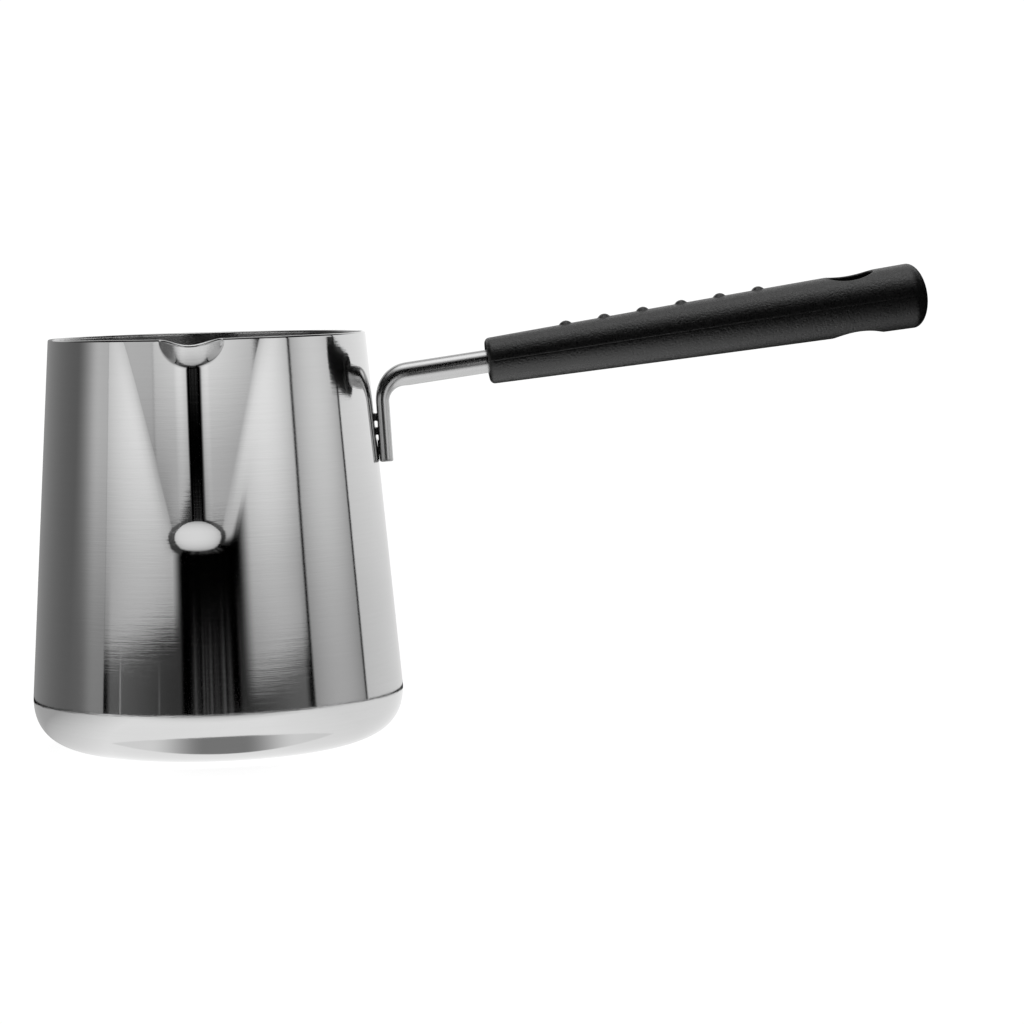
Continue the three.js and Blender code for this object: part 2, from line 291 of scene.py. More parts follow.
def surface_normals(grid):
    """Outward normals of a grid whose columns run round the z axis."""
    along = np.gradient(grid, axis=0)
    around = (np.roll(grid, -1, 1) - np.roll(grid, 1, 1)) / 2
    normal = np.cross(around, along)
    return normal / np.linalg.norm(normal, axis=2, keepdims=True)


def cup_outer(outline, angle):
    """Outer face, with the ridge and the lip pressed out of the round wall."""
    radius, z = outline[:, :1], outline[:, 1:]
    pushed = radius + ridge_push(angle, z) + lip_flare(angle, z)
    azimuth = SPOUT_AZIMUTH + angle
    height = z - lip_drop(angle, z)
    return np.stack((pushed * np.cos(azimuth), pushed * np.sin(azimuth), height), 2)


def cup_inner(outer, z):
    """Inner face, one sheet's thickness inside the outer one and level with it at the rim."""
    normal = surface_normals(outer)
    level = normal * (1, 1, 0)
    level /= np.maximum(1e-9, np.linalg.norm(level, axis=2, keepdims=True))
    near_rim = smoothstep(CUP_HEIGHT - LIP_DEPTH, CUP_HEIGHT - SHEET, z)[:, :, None]
    return outer - SHEET * lerp(normal, level, near_rim)


def rim_rows(outer_edge, inner_edge):
    """Rows of the sheet's rounded edge, from the outside to the inside."""
    middle = (outer_edge + inner_edge) / 2
    half = (outer_edge - inner_edge) / 2
    turns = np.linspace(0, math.pi, 9)[1:-1]
    return np.stack([middle + half * math.cos(t) + (0, 0, SHEET / 2 * math.sin(t)) for t in turns])


def cup_attributes(outline, dulled, rim_count):
    """Length along the sheet's section, and how dull the polish is, at every point."""
    steps = np.linalg.norm(np.diff(outline, axis=0), axis=1)
    length = np.concatenate(([0], np.cumsum(steps))) + outline[0, 0]
    profile = np.concatenate((length, np.full(rim_count, length[-1]), length[::-1]))
    profile = np.append(np.repeat(profile, dulled.shape[1]), (0, 0)) * MM
    dulled = np.concatenate((dulled, np.repeat(dulled[-1:], rim_count, 0), dulled[::-1]))
    return {"profile": profile, "dulled": np.append(dulled, (0, 0))}


def make_cup():
    columns = 432
    outline = cup_outline()
    z = outline[:, 1:]
    angle = column_angles(columns, z)
    outer = cup_outer(outline, angle)
    inner = cup_inner(outer, z)
    rim = rim_rows(outer[-1], inner[-1])
    rows = np.concatenate((outer, rim, inner[::-1]))
    points = np.concatenate((rows.reshape(-1, 3), [(0, 0, 0), (0, 0, SHEET)]))
    count = len(rows)
    faces = ring_faces(count, columns)
    faces += fan_faces(len(points) - 2, 0, columns, False)
    faces += fan_faces(len(points) - 1, (count - 1) * columns, columns, True)
    attributes = cup_attributes(outline, dulled_share(angle, z), len(rim))
    piece = make_piece("cup", points, faces, "pot_body", attributes)
    piece.data.materials.append(cup_outside_steel())
    piece.data.materials.append(cup_inside_steel())
    # The inside starts at the top of the rim. The first fan is the base's outer face.
    index = np.zeros(len(faces), np.int32)
    index[(len(outer) + len(rim) // 2) * columns:] = 1
    index[(count - 1) * columns:count * columns] = 0
    piece.data.polygons.foreach_set("material_index", index)
    return piece


# ---- Handle tube -------------------------------------------------------------

class CentreLine:
    """The tube's centre line in the XZ plane: up the tongue, round the bend and
    along the grip's axis. Stations are lengths from the tongue's foot."""

    def __init__(self):
        self.start_angle = math.pi / 2 + TONGUE_LEAN
        self.up = np.array((math.cos(self.start_angle), math.sin(self.start_angle)))
        self.out = np.array((math.cos(GRIP_TILT), math.sin(GRIP_TILT)))
        front = GRIP_FRONT[[0, 2]]
        gap = front - TONGUE_FOOT
        cross = self.up[0] * self.out[1] - self.up[1] * self.out[0]
        to_corner = (gap[0] * self.out[1] - gap[1] * self.out[0]) / cross
        turn = self.start_angle - GRIP_TILT
        tangent = BEND_RADIUS * math.tan(turn / 2)
        self.bend_start = to_corner - tangent
        self.bend_end = self.bend_start + BEND_RADIUS * turn
        corner = TONGUE_FOOT + self.up * to_corner
        self.leave = corner + self.out * tangent
        self.centre = corner - self.up * tangent + BEND_RADIUS * self.up[[1, 0]] * (1, -1)
        reach = np.linalg.norm(front - self.leave)
        self.grip_station = self.bend_end + reach
        self.length = self.grip_station + TUBE_IN_GRIP

    def at(self, station):
        """Point in XZ and direction angle at one station."""
        if station <= self.bend_start:
            return TONGUE_FOOT + self.up * station, self.start_angle
        if station >= self.bend_end:
            return self.leave + self.out * (station - self.bend_end), GRIP_TILT
        angle = self.start_angle - (station - self.bend_start) / BEND_RADIUS
        outward = np.array((-math.sin(angle), math.cos(angle)))
        return self.centre + outward * BEND_RADIUS, angle


def tube_ring(line, station, radius, sides):
    """One ring of the tube, flattened below the bend and round beyond it."""
    turn = np.linspace(0, 2 * math.pi, sides, endpoint=False)
    side = np.sin(turn)
    round_share = smoothstep(line.bend_start, line.bend_end + ROUNDING_RUN, station)
    half_thickness = lerp(TONGUE_THICKNESS / 2, TUBE_RADIUS, round_share)
    half_flat = (TUBE_RADIUS - half_thickness) * math.pi / 2
    skin = half_thickness - (TUBE_RADIUS - radius)
    across = side * skin + half_flat * np.clip(FLAT_SPREAD * side, -1, 1)
    rise = np.cos(turn) * skin
    point, angle = line.at(station)
    x = point[0] - rise * math.sin(angle)
    z = point[1] + rise * math.cos(angle)
    return np.stack((x, across, z), 1)


def tube_outline(line):
    """Radius and station pairs: down the outside, round the cut foot and up the bore."""
    round_from = line.bend_end + ROUNDING_RUN
    straight = np.linspace(CUT_EDGE, line.bend_start, 24)[:-1]
    bend = np.linspace(line.bend_start, round_from, 60)
    beyond = np.linspace(round_from, line.length, 60)[1:]
    stations = np.concatenate((straight, bend, beyond))
    bore = TUBE_RADIUS - TUBE_WALL
    turns = np.linspace(0, math.pi / 2, 5)[1:]
    rounding = [(CUT_EDGE * (1 - math.cos(t)), CUT_EDGE * (1 - math.sin(t))) for t in turns]
    outer_edge = [(TUBE_RADIUS - r, s) for r, s in rounding]
    inner_edge = [(bore + r, s) for r, s in rounding[::-1]]
    down = [(TUBE_RADIUS, s) for s in stations[::-1]]
    up = [(bore, s) for s in stations]
    return down + outer_edge + inner_edge + up


def make_tube():
    sides = 72
    line = CentreLine()
    outline = tube_outline(line)
    rings = [tube_ring(line, s, r, sides) for r, s in outline]
    points = np.concatenate(rings)
    faces = ring_faces(len(rings), sides, close_rows=True)
    along = np.repeat([s for r, s in outline], sides) * MM
    around = np.tile(np.arange(sides) / sides, len(rings))
    attributes = {"along": along, "around": around}
    piece = make_piece("tube", points, faces, "handle_tube", attributes)
    piece.data.materials.append(tube_steel())
    return piece


# ---- Spot welds --------------------------------------------------------------

def make_weld(name, height, half):
    """A ragged, slightly waisted lump of metal from the wall to the tongue."""
    wall = wall_radius(height)
    rise = height - TONGUE_FOOT[1]
    face = TONGUE_FOOT[0] - rise * math.tan(TONGUE_LEAN) - TONGUE_THICKNESS / 2
    centre = np.array(((wall + face) / 2, 0, height))
    reach = (face - wall) / 2 + WELD_OVERLAP
    columns = 40
    turn = np.linspace(0, 2 * math.pi, columns, endpoint=False)
    share = np.linspace(-1, 1, 21)
    rows = []
    large, small = WELD_LUMPS
    for s in share:
        waist = WELD_RADIUS * (WELD_WAIST + (1 - WELD_WAIST) * s * s)
        lumps = large * np.sin(3 * turn + height) + small * np.sin(7 * turn + 2 * s + height)
        ring = waist * (1 + lumps)
        upright = ring * half / WELD_RADIUS * np.sin(turn)
        rows.append(np.stack((np.full(columns, s * reach), ring * np.cos(turn), upright), 1))
    rows = np.stack(rows) + centre
    points = np.concatenate((rows.reshape(-1, 3), [centre - (reach, 0, 0), centre + (reach, 0, 0)]))
    faces = ring_faces(len(rows), columns)
    faces += fan_faces(len(points) - 2, 0, columns, False)
    faces += fan_faces(len(points) - 1, (len(rows) - 1) * columns, columns, True)
    piece = make_piece("weld_" + name, points, faces, "weld_spot_" + name)
    piece.data.materials.append(weld_steel())
    return piece


# ---- Grip --------------------------------------------------------------------

def grip_half_height(u):
    """Half the grip's height at length u: a taper with a slight crown."""
    share = u / GRIP_BODY_LENGTH
    return lerp(GRIP_FRONT_HALF, GRIP_END_HALF, share) + 4 * GRIP_CROWN * share * (1 - share)


def grip_profile():
    """Length along the grip, half height and width ratio of each row, socket first."""
    rows = []
    socket = TUBE_RADIUS + SOCKET_CLEARANCE
    for u in np.linspace(TUBE_IN_GRIP + SOCKET_CLEARANCE, SOCKET_FILLET, 30):
        rows.append((u, socket, 1.0))
    for t in np.linspace(0, math.pi / 2, 6)[1:]:
        u = SOCKET_FILLET * (1 - math.sin(t))
        rows.append((u, socket + SOCKET_FILLET * (1 - math.cos(t)), 1.0))
    front_half = grip_half_height(GRIP_FRONT_FILLET) - GRIP_FRONT_FILLET
    start = socket + SOCKET_FILLET
    for share in np.linspace(0, 1, 7)[1:]:
        rows.append((0, lerp(start, front_half, share), lerp(1.0, GRIP_WIDTH_RATIO, share)))
    for t in np.linspace(0, math.pi / 2, 10)[1:]:
        u = GRIP_FRONT_FILLET * (1 - math.cos(t))
        rows.append((u, front_half + GRIP_FRONT_FILLET * math.sin(t), GRIP_WIDTH_RATIO))
    first_fine = FIRST_BUMP - 2
    last_fine = FIRST_BUMP + BUMP_PITCH * (BUMP_COUNT - 1) + 2
    stations = np.concatenate((
        np.linspace(GRIP_FRONT_FILLET, first_fine, 20)[1:],
        np.linspace(first_fine, last_fine, 300)[1:],
        np.linspace(last_fine, GRIP_BODY_LENGTH, 80)[1:],
    ))
    rows += [(u, grip_half_height(u), GRIP_WIDTH_RATIO) for u in stations]
    dome = GRIP_LENGTH - GRIP_BODY_LENGTH
    for t in np.linspace(0, math.pi / 2, 34)[1:-1]:
        u = GRIP_BODY_LENGTH + dome * math.sin(t)
        rows.append((u, GRIP_END_HALF * math.cos(t), GRIP_WIDTH_RATIO))
    return np.array(rows)


def bump_rise(u, v):
    """Height of the row of small domes above the top of the grip."""
    ball = (BUMP_RADIUS ** 2 + BUMP_HEIGHT ** 2) / (2 * BUMP_HEIGHT)
    rise = np.zeros_like(u)
    for i in range(BUMP_COUNT):
        away = np.hypot(u - FIRST_BUMP - i * BUMP_PITCH, v)
        dome = np.sqrt(np.maximum(0, ball ** 2 - away ** 2)) - (ball - BUMP_HEIGHT)
        rise = np.maximum(rise, np.where(away < BUMP_RADIUS, dome, 0))
    return rise


def grip_to_frame(local):
    """From the grip's own length, side and height to the part's frame."""
    cos, sin = math.cos(GRIP_TILT), math.sin(GRIP_TILT)
    u, v, w = local[:, 0], local[:, 1], local[:, 2]
    return GRIP_FRONT + np.stack((u * cos - w * sin, v, u * sin + w * cos), 1)


def grip_turns():
    """Angles round the section from the top, closest together at the top and bottom,
    with extra ones along the parting lines at the two sides."""
    even = np.linspace(0, 2 * math.pi, 160, endpoint=False)
    turns = math.pi / 2 + even - 0.3 * np.sin(2 * even)
    near = np.array((-0.028, -0.014, 0.014, 0.028))
    extra = np.concatenate((math.pi + near, 2 * math.pi + near))
    return np.sort(np.concatenate((turns, extra)))


def parting_groove(turn):
    """The shallow groove along each side where the mould's halves met."""
    off = np.abs(np.sin(turn)) * GRIP_END_HALF
    return PARTING_DEPTH * (1 - smoothstep(0.0, PARTING_WIDTH / 2, off))


def grip_section(profile, turn):
    """Grid of the grip's points in its own length, side and height."""
    u = np.repeat(profile[:, :1], turn.shape[1], 1)
    half = profile[:, 1:2]
    outside = half > OUTSIDE_HALF
    size = half - np.where(outside, parting_groove(turn), 0)
    v = size * profile[:, 2:] * np.cos(turn)
    w = size * np.sin(turn)
    on_top = (np.sin(turn) > 0) & outside
    return np.stack((u, v, w + np.where(on_top, bump_rise(u, v), 0)), 2)


def grip_top(u, v):
    """Height of the grip's upper surface above its axis."""
    half = grip_half_height(u)
    return half * np.sqrt(np.maximum(0, 1 - (v / (half * GRIP_WIDTH_RATIO)) ** 2))


def block_loop(rows, columns, count):
    """Grid indices round a block, across its first row and back along its last."""
    first, last = rows
    left, right = columns
    loop = [(first, j) for j in range(left, right)]
    loop += [(i, right) for i in range(first, last)]
    loop += [(last, j) for j in range(right, left, -1)]
    loop += [(i, left) for i in range(last, first, -1)]
    return [i * count + j % count for i, j in loop]


def hole_mouth(outline, shift):
    """Rings from a block's edge in to the hanging hole and round its filleted mouth."""
    half_length, half_width = HOLE_LENGTH / 2, HOLE_WIDTH / 2
    away = outline - (HOLE_CENTRE, 0)
    turn = np.arctan2(away[:, 1] / half_width, away[:, 0] / half_length)
    around = np.stack((half_length * np.cos(turn), half_width * np.sin(turn)), 1)
    wall = around + (HOLE_CENTRE, shift)
    normal = np.stack((np.cos(turn) / half_length, np.sin(turn) / half_width), 1)
    normal /= np.linalg.norm(normal, axis=1, keepdims=True)
    edge = wall + HOLE_FILLET * normal
    rings = []
    for share in np.linspace(0, 1, 12)[1:]:
        plan = lerp(outline, edge, share)
        rings.append((plan, grip_top(plan[:, 0], plan[:, 1])))
    for t in np.linspace(0, math.pi / 2, 9)[1:]:
        plan = wall + HOLE_FILLET * (1 - math.sin(t)) * normal
        rings.append((plan, grip_top(plan[:, 0], plan[:, 1]) - HOLE_FILLET * (1 - math.cos(t))))
    return rings


def hole_rings(outline):
    """Rings in to the hanging hole, down its slightly leaning bore and out again below.
    Each ring is in plan order and seen from above."""
    top = hole_mouth(outline, -HOLE_LEAN)
    below = [(plan, -height) for plan, height in hole_mouth(outline, 0.0)[::-1]]
    bore = [(lerp(top[-1][0], below[0][0], share), lerp(top[-1][1], below[0][1], share))
            for share in np.linspace(0, 1, 12)[1:-1]]
    return [np.column_stack((plan, height)) for plan, height in top + bore + below]


def hole_block(profile):
    """First and last row of the block that is built again round the hole."""
    rows = [i for i, (u, half, _) in enumerate(profile)
            if half > OUTSIDE_HALF and abs(u - HOLE_CENTRE) < HOLE_BLOCK_LENGTH / 2]
    return rows[0], rows[-1]


def block_loops(rows, count):
    """Grid indices round the upper block, and round the lower one in matching order."""
    reach = HOLE_BLOCK_COLUMNS
    bottom = count // 2
    upper = block_loop(rows, (-reach, reach), count)
    lower = block_loop(rows, (bottom - reach, bottom + reach), count)
    size = len(upper)
    return upper, [lower[(2 * reach - k) % size] for k in range(size)]


def grip_skin(row_count, count, rows):
    """Faces of the grip and of its two ends, with the hole's two blocks left out."""
    reach = HOLE_BLOCK_COLUMNS
    holed = {i * count + j % count for i in range(*rows)
             for start in (0, count // 2) for j in range(start - reach, start + reach)}
    faces = [face for face in ring_faces(row_count, count) if face[0] not in holed]
    faces += fan_faces(row_count * count, 0, count, True)
    return faces + fan_faces(row_count * count + 1, (row_count - 1) * count, count, False)


def loop_faces(loops):
    """Quads between closed loops of equally many points."""
    faces = []
    for outer, inner in zip(loops, loops[1:]):
        for k in range(len(outer)):
            n = (k + 1) % len(outer)
            faces.append((outer[k], outer[n], inner[n], inner[k]))
    return faces


def make_grip():
    turn = grip_turns()[None, :]
    count = turn.shape[1]
    profile = grip_profile()
    poles = [(TUBE_IN_GRIP + SOCKET_CLEARANCE, 0, 0), (GRIP_LENGTH, 0, 0)]
    points = np.concatenate((grip_section(profile, turn).reshape(-1, 3), poles))
    block = hole_block(profile)
    upper, lower = block_loops(block, count)
    rings = hole_rings(points[upper][:, :2])[:-1]
    start, size = len(points), len(upper)
    inner = [range(start + i * size, start + (i + 1) * size) for i in range(len(rings))]
    faces = grip_skin(len(profile), count, block) + loop_faces([upper, *inner, lower])
    points = grip_to_frame(np.concatenate((points, *rings)))
    piece = make_piece("grip_moulding", points, faces, "grip")
    piece.data.materials.append(grip_plastic())
    return piece


# ---- Materials ---------------------------------------------------------------

class Nodes:
    """A node tree with short calls to add and join nodes."""

    def __init__(self, tree):
        self.tree = tree
        tree.nodes.clear()

    def add(self, kind, **settings):
        node = self.tree.nodes.new(kind)
        for key, value in settings.items():
            setattr(node, key, value)
        return node

    def put(self, socket, value):
        if isinstance(value, bpy.types.NodeSocket):
            self.tree.links.new(value, socket)
        else:
            socket.default_value = value

    def math(self, operation, a, b=0.0, clamp=False):
        node = self.add("ShaderNodeMath", operation=operation, use_clamp=clamp)
        self.put(node.inputs[0], a)
        self.put(node.inputs[1], b)
        return node.outputs[0]

    def ramp(self, value, low, high, to_low=0.0, to_high=1.0, smooth=True):
        kind = "SMOOTHSTEP" if smooth else "LINEAR"
        node = self.add("ShaderNodeMapRange", interpolation_type=kind)
        self.put(node.inputs["Value"], value)
        self.put(node.inputs["From Min"], low)
        self.put(node.inputs["From Max"], high)
        self.put(node.inputs["To Min"], to_low)
        self.put(node.inputs["To Max"], to_high)
        return node.outputs["Result"]

    def combine(self, x, y, z):
        node = self.add("ShaderNodeCombineXYZ")
        for socket, value in zip(node.inputs, (x, y, z)):
            self.put(socket, value)
        return node.outputs[0]

    def noise(self, vector, scale, detail=2.0, roughness=0.5):
        node = self.add("ShaderNodeTexNoise")
        self.put(node.inputs["Vector"], vector)
        self.put(node.inputs["Scale"], scale)
        self.put(node.inputs["Detail"], detail)
        self.put(node.inputs["Roughness"], roughness)
        return node.outputs["Fac"]

    def attribute(self, name):
        return self.add("ShaderNodeAttribute", attribute_name=name).outputs["Fac"]

    def position(self):
        node = self.add("ShaderNodeTexCoord")
        split = self.add("ShaderNodeSeparateXYZ")
        self.put(split.inputs[0], node.outputs["Object"])
        return split.outputs

    def bump(self, height, distance, under=None):
        node = self.add("ShaderNodeBump")
        self.put(node.inputs["Height"], height)
        self.put(node.inputs["Distance"], distance)
        if under is not None:
            self.put(node.inputs["Normal"], under)
        return node.outputs["Normal"]

    def mix(self, share, a, b):
        node = self.add("ShaderNodeMix", data_type="RGBA")
        self.put(node.inputs["Factor"], share)
        self.put(node.inputs["A"], a)
        self.put(node.inputs["B"], b)
        return node.outputs["Result"]


def new_material(name):
    """A material with one surface shader, its nodes and that shader."""
    material = bpy.data.materials.new(name)
    material.use_nodes = True
    nodes = Nodes(material.node_tree)
    shader = nodes.add("ShaderNodeBsdfPrincipled")
    output = nodes.add("ShaderNodeOutputMaterial")
    nodes.put(output.inputs["Surface"], shader.outputs[0])
    return material, nodes, shader


def grey(value):
    return (value, value, value, 1.0)


# What dulling adds to the roughness of the cup's steel.
DULLED_ROUGHNESS = 0.14
# Scale of the noise that makes the lines. On the cup it is per metre, along the lines
# and across them. On the tube it is per radius round it and per metre along it.
TURNED_ROUND = 70
TURNED_ACROSS = 1500
DRAWN_AROUND = 9
DRAWN_ALONG = 60


def turned_steel(name, light, dark, roughness, line_depth, wave_depth):
    """Polished sheet with fine lines round the cup's axis."""
    material, nodes, shader = new_material(name)
    x, y, z = nodes.position()
    turned = nodes.combine(nodes.math("MULTIPLY", x, TURNED_ROUND),
                           nodes.math("MULTIPLY", y, TURNED_ROUND),
                           nodes.math("MULTIPLY", nodes.attribute("profile"), TURNED_ACROSS))
    lines = nodes.noise(turned, scale=1.0, detail=4.0, roughness=0.7)
    place = nodes.combine(x, y, z)
    smudge = nodes.noise(place, scale=45.0, detail=3.0, roughness=0.55)
    wave = nodes.noise(place, scale=28.0, detail=1.0, roughness=0.4)
    tone = nodes.math("MULTIPLY", nodes.math("ADD", smudge, lines), 0.5)
    nodes.put(shader.inputs["Base Color"], nodes.mix(tone, grey(dark), grey(light)))
    rough = nodes.ramp(smudge, 0.3, 0.7, roughness - 0.012, roughness + 0.015)
    dulled = nodes.math("MULTIPLY", nodes.attribute("dulled"), DULLED_ROUGHNESS)
    nodes.put(shader.inputs["Roughness"], nodes.math("ADD", rough, dulled))
    waved = nodes.bump(wave, wave_depth)
    nodes.put(shader.inputs["Normal"], nodes.bump(lines, line_depth, waved))
    shader.inputs["Metallic"].default_value = 1.0
    shader.inputs["Anisotropic"].default_value = 0.8
    shader.inputs["Anisotropic Rotation"].default_value = 0.25
    tangent = nodes.add("ShaderNodeTangent", direction_type="RADIAL", axis="Z")
    nodes.put(shader.inputs["Tangent"], tangent.outputs[0])
    return material


def cup_outside_steel():
    return turned_steel("cup_outside_steel", light=0.655, dark=0.585, roughness=0.06,
                        line_depth=9e-6, wave_depth=1.5e-4)


def cup_inside_steel():
    return turned_steel("cup_inside_steel", light=0.58, dark=0.52, roughness=0.22,
                        line_depth=9e-6, wave_depth=1e-4)


def tube_steel():
    """Drawn tube with lengthwise lines."""
    material, nodes, shader = new_material("tube_steel")
    turn = nodes.math("MULTIPLY", nodes.attribute("around"), 2 * math.pi)
    drawn = nodes.combine(nodes.math("MULTIPLY", nodes.math("COSINE", turn), DRAWN_AROUND),
                          nodes.math("MULTIPLY", nodes.math("SINE", turn), DRAWN_AROUND),
                          nodes.math("MULTIPLY", nodes.attribute("along"), DRAWN_ALONG))
    lines = nodes.noise(drawn, scale=1.0, detail=4.0, roughness=0.6)
    nodes.put(shader.inputs["Base Color"], nodes.mix(lines, grey(0.5), grey(0.6)))
    nodes.put(shader.inputs["Roughness"], nodes.ramp(lines, 0.3, 0.7, 0.2, 0.3))
    nodes.put(shader.inputs["Normal"], nodes.bump(lines, 1e-5))
    shader.inputs["Metallic"].default_value = 1.0
    return material


def weld_steel():
    """Steel painted near black as shade: the welds sit in the shaded gap between the cup's wall and
    the tongue. A random mottle varies the tone.
    """
    material, nodes, shader = new_material("weld_steel")
    x, y, z = nodes.position()
    mottle = nodes.noise(nodes.combine(x, y, z), scale=2500.0, detail=3.0)
    # Painted shade: the welds' colour is kept near black for the shade in the gap between the wall
    # and the tongue.
    nodes.put(shader.inputs["Base Color"], nodes.mix(mottle, grey(0.05), grey(0.16)))
    nodes.put(shader.inputs["Roughness"], nodes.ramp(mottle, 0.3, 0.7, 0.4, 0.65))
    nodes.put(shader.inputs["Normal"], nodes.bump(mottle, 1e-4))
    shader.inputs["Metallic"].default_value = 0.8
    return material


def grip_plastic():
    """Black moulded plastic with a fine sparkling grain."""
    material, nodes, shader = new_material("grip_plastic")
    x, y, z = nodes.position()
    grain = nodes.noise(nodes.combine(x, y, z), scale=2300.0, detail=3.0, roughness=0.65)
    nodes.put(shader.inputs["Base Color"], nodes.mix(grain, grey(0.002), grey(0.006)))
    nodes.put(shader.inputs["Roughness"], nodes.ramp(grain, 0.3, 0.7, 0.26, 0.4))
    nodes.put(shader.inputs["Normal"], nodes.bump(grain, 1.4e-4))
    shader.inputs["Specular IOR Level"].default_value = 0.75
    return material


# ---- Studio ------------------------------------------------------------------

# The cup is lit by soft cards that stand round it, which only its reflections see.
# Angles are degrees to the right of the camera's side, heights are millimetres. Each
# card is brightest in its middle and fades towards its sides and its lower edge: it has
# a soft left and right edge, a lower edge that may slope and is soft as well, the height
# of its full light, its strength, the drop at its sides and the share at its lower edge.
# A card whose lower edge is at NO_EDGE goes on below the ring.
NO_EDGE = -200.0
Card = namedtuple("Card", "left right soft_left soft_right low_left low_right soft_low "
                          "full strength drop low_share")
CARDS = (
    Card(-69.9, -20.2, 0.6, 6.0, 21.0, 37.0, 4.0, 100.0, 1.16, 0.30, 0.36),
    Card(-99.0, -69.5, 22.0, 0.4, NO_EDGE, NO_EDGE, 1.0, 90.0, 0.68, 0.05, 0.45),
    Card(13.4, 55.1, 9.0, 1.5, 14.0, 22.0, 10.0, 100.0, 1.16, 0.40, 0.34),
    Card(55.4, 95.6, 1.5, 1.5, NO_EDGE, NO_EDGE, 1.0, 90.0, 0.90, 0.38, 0.62),
    Card(95.9, 180.0, 1.5, 1.0, NO_EDGE, NO_EDGE, 1.0, 90.0, 1.05, 0.10, 0.80),
)
CARD_RADIUS = 240.0
CARD_TOP = 140.0
CARD_BOTTOM = -160.0
# Below this height a card has only the share of its lower edge.
FADE_FROM = 10.0
# The camera's own bearing, in degrees from -Y towards +X.
VIEW_BEARING = 2.2
# Weak light beyond the left cards: two angles and the light at each. After the second
# one it fades out.
DIM_SIDE = (-160.0, -98.0, 0.30, 0.15)
DIM_SIDE_FADE = 14.0
# The dim zones under the soft boxes: outer and inner angle, and their light at each.
# They fade out upward between two heights.
FRONT_HAZE = ((-64.0, -22.0, 0.13, 0.045), (50.0, 13.0, 0.14, 0.03))
HAZE_HEIGHTS = (30.0, 55.0)
# Thin bright uprights in the dim zones: angle and light. Each fades out sideways
# between two distances in degrees, and upward between two heights.
FRONT_LINES = ((-58.0, 0.35), (-34.0, 0.12))
LINE_EDGES = (0.1, 0.45)
LINE_HEIGHTS = (18.0, 26.0)
# Upright streaks round the camera. They fade in and out sideways over the first two
# spans, fade out upward over the low heights and come back over the high ones.
STREAK_LEFT = (-16.5, -13.5)
STREAK_RIGHT = (6.0, 9.0)
STREAKS_LOW = (12.0, 46.0)
STREAKS_HIGH = (60.0, 88.0)
STREAK_LIGHT = 0.10
# The table top, how far its middle is in front of the cup, and its dark edge.
TABLE_RADIUS = 140.0
TABLE_FORWARD = 60.0
TABLE_SIDES = 96
TABLE_EDGE = 4.0
TABLE_LIGHT = 1.12
# Where the table gets darker, and the share of its light that is left there: towards
# its left and right side by angle, and to the front by distance.
TABLE_LEFT = (-98.0, -44.0, 0.43)
TABLE_RIGHT = (20.0, 60.0, 0.88)
TABLE_FAR = (75.0, 185.0, 0.45)
# The dark crescent under the cup's front: its middle line, half its width, the angle of
# its middle and how far it reaches to each side, its soft edge, and how dark it is.
SHADE_RADIUS = 40.2
SHADE_WIDTH = 5.4
SHADE_MIDDLE = 1.0
SHADE_REACH = 44.0
SHADE_EDGE = 0.5
SHADE_DEPTH = (0.15, 0.62, 0.76, 0.14)
# Light from above, which starts and is full at two angles above the horizon, and light
# from below and behind. The last starts and is full at two Y parts of a direction.
OVERHEAD_LOW = 50.0
OVERHEAD_FULL = 82.0
OVERHEAD_STRENGTH = 1.6
GROUND_LIGHT = 0.9
BACK_FROM = (0.35, 0.9)
BACK_LIGHT = 0.9
# What the camera sees behind the cup and below it.
BACKDROP_LIGHT = 1.05
FLOOR_LIGHT = 0.9
FLOOR_RADIUS = 1100.0
# How far the floor and the table top lie below the cup's base.
FLOOR_DEPTH = 0.1
TABLE_DEPTH = 0.02
# The camera, fitted to the photo's outlines.
CAMERA_PLACE = (24.77, -644.21, 100.07)
CAMERA_FORWARD = (0.06085, 0.99485, -0.08104)
CAMERA_RIGHT = (0.99767, -0.06314, -0.02600)
CAMERA_LENS = 105.47


def bearing(nodes, x, y):
    """Degrees to the right of the camera's side, from the cup's axis."""
    turn = nodes.math("ARCTAN2", x, nodes.math("MULTIPLY", y, -1.0))
    return nodes.math("SUBTRACT", nodes.math("DEGREES", turn), VIEW_BEARING)


def card_light(nodes, azimuth, height, card):
    """The light of one card at an angle and a height."""
    middle = (card.left + card.right) / 2
    half = (card.right - card.left) / 2
    from_left = nodes.ramp(azimuth, card.left, card.left + card.soft_left)
    to_right = nodes.ramp(azimuth, card.right - card.soft_right, card.right, 1.0, 0.0)
    low = nodes.ramp(azimuth, card.left, card.right, card.low_left, card.low_right, smooth=False)
    rising = nodes.ramp(nodes.math("SUBTRACT", height, low), 0.0, card.soft_low)
    fade = nodes.ramp(height, FADE_FROM, card.full, card.low_share, 1.0)
    away = nodes.math("DIVIDE", nodes.math("SUBTRACT", azimuth, middle), half)
    sides = nodes.math("MULTIPLY", nodes.math("MULTIPLY", away, away), card.drop)
    light = nodes.math("SUBTRACT", 1.0, sides, clamp=True)
    for factor in (from_left, to_right, rising, fade, card.strength):
        light = nodes.math("MULTIPLY", light, factor)
    return light


def emitter(name):
    """A material that only shines: its nodes and the socket of its strength."""
    material = bpy.data.materials.new(name)
    material.use_nodes = True
    material.cycles.emission_sampling = "NONE"
    nodes = Nodes(material.node_tree)
    shine = nodes.add("ShaderNodeEmission")
    output = nodes.add("ShaderNodeOutputMaterial")
    nodes.put(output.inputs["Surface"], shine.outputs[0])
    return material, nodes, shine.inputs["Strength"]


